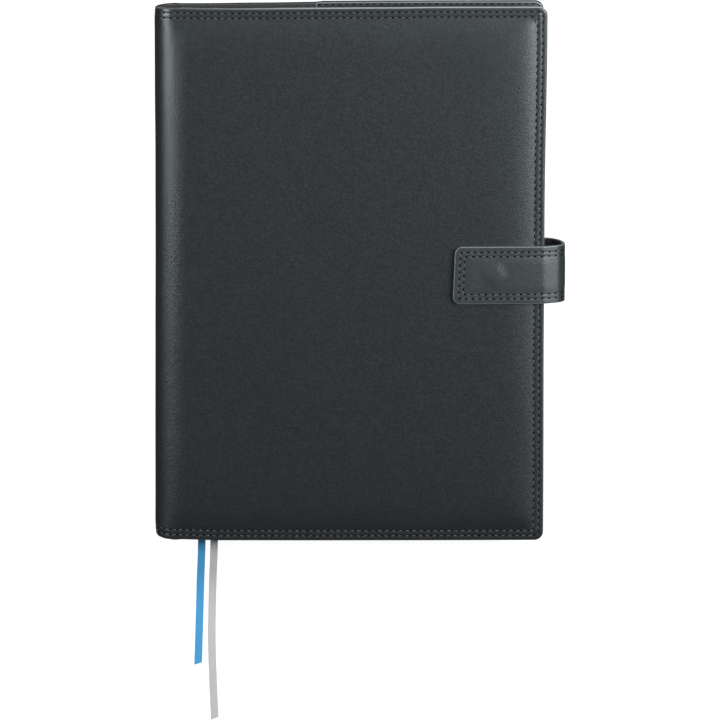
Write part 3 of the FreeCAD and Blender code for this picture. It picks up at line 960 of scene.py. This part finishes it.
apart = strapShape["apart"]
strapBlend = {  # the two bodies, and where the bend between them starts and ends
    "lower": ("back_cover", "strap", strapPoint(loopLine[1][1], 0, 0),
              strapPoint(sideMiddle - apart, 0, 0)),
    "upper": ("strap", "tab", strapPoint(sideMiddle + apart, 0, 0), strapPoint(tabStart, 0, 0)),
}


def joinStrap(piece):
    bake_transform(piece)


def evenly(start, end, step):
    count = max(1, round((end - start) / step))
    return [start + (end - start) * i / count for i in range(count + 1)]


def strapColumns(part):
    if part == "lower":
        return evenly(0, sideMiddle, strapShape["along"])
    steps = strapShape["edge"]
    return (evenly(sideMiddle, strapLength - steps[-1], strapShape["along"])
            + [strapLength - e for e in reversed(steps[:-1])])


def makeStrap(part, layer, nodes):
    steps = edgeSteps(strapShape["edge"], strapWidth, strapShape["coarse"])
    rows = [y - strapWidth / 2 for y in steps]
    piece = gridPiece(f"strap_{part}_{layer}_ply", strapColumns(part), rows, strapPlace(layer))
    finishMesh(piece, strapLeather, strapShape["smooth"])
    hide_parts(*nodes)
    joinStrap(piece)


for layer in ("outer", "inner"):
    makeStrap("lower", layer, [f"strap_root_{layer}", f"strap_lower_bend_{layer}",
                               f"strap_side_{layer}"])
    makeStrap("upper", layer, [f"strap_upper_bend_{layer}", f"strap_tab_{layer}"])
print("strap ready")


stitchShape = {  # mm
    "pitch": 3.05, "length": 1.7, "width": 0.42, "rise": 0.13, "sunk": 0.14,
    "hole": 0.54, "holeLong": 1.2, "holeDeep": 0.08, "holeLift": 0.015,
    "sway": 14,  # degrees that a stitch may turn each way
    "ahead": 0.4, "beside": 0.2,  # how far the leather is felt round a stitch
    "skinStart": 0.5, "sleeveStart": 1.5, "strapStart": 6, "strapGap": 0.8,
    "cornerSteps": 6, "tabSteps": 4, "tightest": 0.3, "same": 0.01,
    "smooth": 60,
}


def makeStitch():
    # one stitch, along x: a bead half sunk in the leather
    startFresh()
    bpy.ops.mesh.primitive_uv_sphere_add(segments=8, ring_count=6, radius=0.5 * mm)
    piece = bpy.context.object
    bpy.ops.transform.rotate(value=math.pi / 2, orient_axis="Y", center_override=(0, 0, 0))
    bpy.ops.object.transform_apply(location=False, rotation=True, scale=False)
    piece.scale = (stitchShape["length"], stitchShape["width"],
                   2 * stitchShape["rise"] + stitchShape["sunk"])
    bpy.ops.object.transform_apply(location=False, rotation=False, scale=True)
    piece.name = "one_stitch"
    return piece


def makeNeedleHole():
    startFresh()
    bpy.ops.mesh.primitive_uv_sphere_add(segments=8, ring_count=4, radius=1 * mm)
    piece = bpy.context.object
    piece.scale = (stitchShape["hole"] * stitchShape["holeLong"], stitchShape["hole"],
                   stitchShape["holeDeep"])
    bpy.ops.object.transform_apply(location=False, rotation=False, scale=True)
    piece.name = "one_hole"
    return piece


oneStitch = makeStitch()
oneHole = makeNeedleHole()


def sewRow(route, surface):
    # route: points (s, y) along the seam; surface(s, y) gives a place on the leather.
    # Returns the matrices of the stitches and of the holes between them.
    lengths = [0]
    for a, b in zip(route, route[1:]):
        lengths.append(lengths[-1] + math.hypot(b[0] - a[0], b[1] - a[1]))
    count = round(lengths[-1] / stitchShape["pitch"])
    pitch = lengths[-1] / count

    def along(distance):
        distance = min(max(distance, 0), lengths[-1] - tiny)
        i = max(j for j in range(len(lengths) - 1) if lengths[j] <= distance)
        part = (distance - lengths[i]) / (lengths[i + 1] - lengths[i])
        return [route[i][k] + (route[i + 1][k] - route[i][k]) * part for k in (0, 1)]

    def stand(distance, lift, jitter):
        far, beside = stitchShape["ahead"], stitchShape["beside"]
        s, y = along(distance)
        here = surface(s, y)
        ahead = surface(*along(distance + far)) - surface(*along(distance - far))
        sideways = surface(s + beside, y) - surface(s - beside, y)
        endways = surface(s, y + beside) - surface(s, y - beside)
        normal = sideways.cross(endways).normalized()
        ahead.normalize()
        ahead = Matrix.Rotation(jitter, 3, normal) @ ahead
        flank = normal.cross(ahead).normalized()
        ahead = flank.cross(normal)
        axes = Matrix((ahead, flank, normal)).transposed().to_4x4()
        return Matrix.Translation(here + normal * lift * mm) @ axes

    sway = math.radians(stitchShape["sway"])
    stitches = [stand((i + 0.5) * pitch, 0, random.uniform(-sway, sway)) for i in range(count)]
    holes = [stand(i * pitch, stitchShape["holeLift"], 0) for i in range(count + 1)]
    return stitches, holes


def copyAlong(name, template, places, material):
    startFresh()
    copies = []
    for place in places:
        mesh = template.data.copy()
        mesh.transform(place)
        copy = bpy.data.objects.new(name, mesh)
        bpy.context.scene.collection.objects.link(copy)
        copy.select_set(True)
        copies.append(copy)
    bpy.context.view_layer.objects.active = copies[0]
    bpy.ops.object.join()
    piece = bpy.context.object
    piece.name = name
    finishMesh(piece, material, stitchShape["smooth"])
    return piece


def sideRoute(inset, start, radius):
    # head, fore edge and tail at one distance from the edge, from s = start
    fore = foreEnd - inset
    end = halfHeight - inset
    curve = max(radius - inset, 0)
    points = [(start, end)]
    steps = stitchShape["cornerSteps"]
    for i in range(steps + 1):
        angle = math.pi / 2 - math.pi / 2 / steps * i
        points.append((fore - curve + curve * math.cos(angle),
                       end - curve + curve * math.sin(angle)))
    points += [(s, -y) for s, y in reversed(points)]
    clean = [points[0]]
    for point in points[1:]:
        if math.hypot(point[0] - clean[-1][0], point[1] - clean[-1][1]) > stitchShape["same"]:
            clean.append(point)
    return clean


def skinSurface(side):
    sign = 1 if side == "front" else -1

    def surface(s, y):
        shift = foreShift(side, s, sign * y)
        return sidePoint(side, s + shift, shiftedEnd(side, s, sign * y), skinDrop(s, sign * y))

    return surface


def sleeveSurface(side):
    def surface(s, y):
        inset = sleeveShape["inset"]
        near = min(foreEnd - inset - s, halfHeight - inset - abs(y))
        sign = -1 if side == "front" else 1
        return sidePoint(side, s, shiftedEnd(side, s, sign * y), sleeveDepth(near, near, True))

    return surface


def sewSide(side):
    stitches = []
    holes = []
    for inset in skinShape["rows"]:
        made = sewRow(sideRoute(inset, stitchShape["skinStart"], skinShape["corner"]),
                      skinSurface(side))
        stitches += made[0]
        holes += made[1]
    piece = copyAlong(side + "_edge_thread", oneStitch, stitches, thread)
    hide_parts(side + "_stitching")
    pits = copyAlong(side + "_edge_needle_holes", oneHole, holes, paintedHoleShade)
    for made in (piece, pits):
        joinSides(made)
    inset = sleeveShape["inset"] + sleeveShape["row"]
    route = sideRoute(inset, sleeveStart + stitchShape["sleeveStart"], skinShape["corner"])
    stitches, holes = sewRow(route, sleeveSurface(side))
    piece = copyAlong(side + "_sleeve_thread", oneStitch, stitches, thread)
    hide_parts(side + "_sleeve_stitching")
    pits = copyAlong(side + "_sleeve_needle_holes", oneHole, holes, paintedHoleShade)
    for made in (piece, pits):
        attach(made, side + "_cover")


for side in ("front", "back"):
    sewSide(side)


def strapRoute(inset, start, end):
    # both long edges, and across the end of the tab when the row reaches it
    flank = strapWidth / 2 - inset
    if end < strapLength:
        return [[(start, flank), (end, flank)], [(end, -flank), (start, -flank)]]
    curve = max(strapShape["corner"] - inset, stitchShape["tightest"])
    tip = strapLength - inset
    points = [(start, flank)]
    steps = stitchShape["tabSteps"]
    for i in range(steps + 1):
        angle = math.pi / 2 - math.pi / 2 / steps * i
        points.append((tip - curve + curve * math.cos(angle),
                       flank - curve + curve * math.sin(angle)))
    points += [(t, -y) for t, y in reversed(points)]
    return [points]


def strapSurface(t, y):
    near = min(strapLength - t, strapWidth / 2 - abs(y))
    return strapPoint(t - tabLean(t, y), y, strapFace(near, t, y, "outer"))


def sewStrap(part, start, end):
    stitches = []
    holes = []
    for inset in strapShape["rows"]:
        for route in strapRoute(inset, start, end):
            made = sewRow(route, lambda t, y: strapSurface(t, -y))
            stitches += made[0]
            holes += made[1]
    piece = copyAlong(f"strap_{part}_thread", oneStitch, stitches, thread)
    pits = copyAlong(f"strap_{part}_needle_holes", oneHole, holes, paintedHoleShade)
    if part == "upper":
        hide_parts("strap_stitching")
    for made in (piece, pits):
        joinStrap(made)


sewStrap("lower", stitchShape["strapStart"], sideMiddle - stitchShape["strapGap"])
sewStrap("upper", sideMiddle + stitchShape["strapGap"], strapLength)
for template in (oneStitch, oneHole):
    bpy.data.objects.remove(template)
print("stitching ready")


pageShape = {  # mm
    "sheets": 24, "corner": 5, "cornerSteps": 6, "uneven": 0.18, "gap": 0.012, "smooth": 35,
    "parting": 0.12,  # keeps the two halves apart when they lie side by side in the open cover
}


def makePages(node, body):
    low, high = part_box(node)
    low.x += pageShape["parting"] * mm
    startFresh()
    count = pageShape["sheets"]
    thick = (high.z - low.z) / count
    leaves = []
    for i in range(count):
        shift = random.uniform(-1, 1) * pageShape["uneven"] * mm
        slide = random.uniform(-1, 1) * pageShape["uneven"] * mm
        centre = ((low.x + high.x) / 2 + min(shift, 0), slide / 2, low.z + thick * (i + 0.5))
        bpy.ops.mesh.primitive_cube_add(size=1, location=centre)
        leaf = bpy.context.object
        leaf.scale = (high.x - low.x - abs(shift), high.y - low.y - abs(slide),
                      thick - pageShape["gap"] * mm)
        bpy.ops.object.transform_apply(location=True, rotation=False, scale=True)
        bpy.ops.object.mode_set(mode="EDIT")
        bpy.ops.mesh.select_mode(type="EDGE")
        bpy.ops.mesh.select_all(action="DESELECT")
        bpy.ops.object.mode_set(mode="OBJECT")
        for edge in leaf.data.edges:
            a, b = (leaf.data.vertices[v].co for v in edge.vertices)
            edge.select = abs(a.x - b.x) < tiny and abs(a.y - b.y) < tiny and a.x > centre[0]
        bpy.ops.object.mode_set(mode="EDIT")
        bpy.ops.mesh.bevel(offset=pageShape["corner"] * mm, segments=pageShape["cornerSteps"],
                           affect="EDGES")
        bpy.ops.object.mode_set(mode="OBJECT")
        leaves.append(leaf)
    startFresh()
    for leaf in leaves:
        leaf.select_set(True)
    bpy.context.view_layer.objects.active = leaves[0]
    bpy.ops.object.join()
    piece = bpy.context.object
    piece.name = node + "_sheets"
    startFresh()
    piece.select_set(True)
    bpy.ops.object.transform_apply(location=True, rotation=True, scale=True)
    finishMesh(piece, paper, pageShape["smooth"])
    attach(piece, body)
    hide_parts(node)


makePages("pages_lower", "page_block")
makePages("pages_upper", "page_turn")
print("paper ready")

nodeFinish = {
    "insert_front_card": blackCard, "insert_back_card": blackCard, "insert_spine_card": blackCard,
    "front_board": greyBoard, "back_board": greyBoard,
    "front_magnet": nickel, "strap_magnet": nickel,
}
for node, finish in nodeFinish.items():
    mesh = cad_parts[node].data
    mesh.materials.clear()
    mesh.materials.append(finish)


floorSetup = {  # lit from within, so no shadow
    "size": 12, "level": -0.0002, "colour": "#686868", "glow": 0.93, "glowColour": (1, 1, 1, 1),
}
startFresh()
bpy.ops.mesh.primitive_plane_add(size=floorSetup["size"],
                                 location=(0, 0, floorSetup["level"]))
floor = bpy.context.object
floor.name = "floor"
floorMaterial, floorTree, floorShader = newMaterial("matt studio floor", floorSetup["colour"], 1)
floorShader.inputs["Emission Color"].default_value = floorSetup["glowColour"]
floorShader.inputs["Emission Strength"].default_value = floorSetup["glow"]
floor.data.materials.append(floorMaterial)
floor.visible_glossy = False
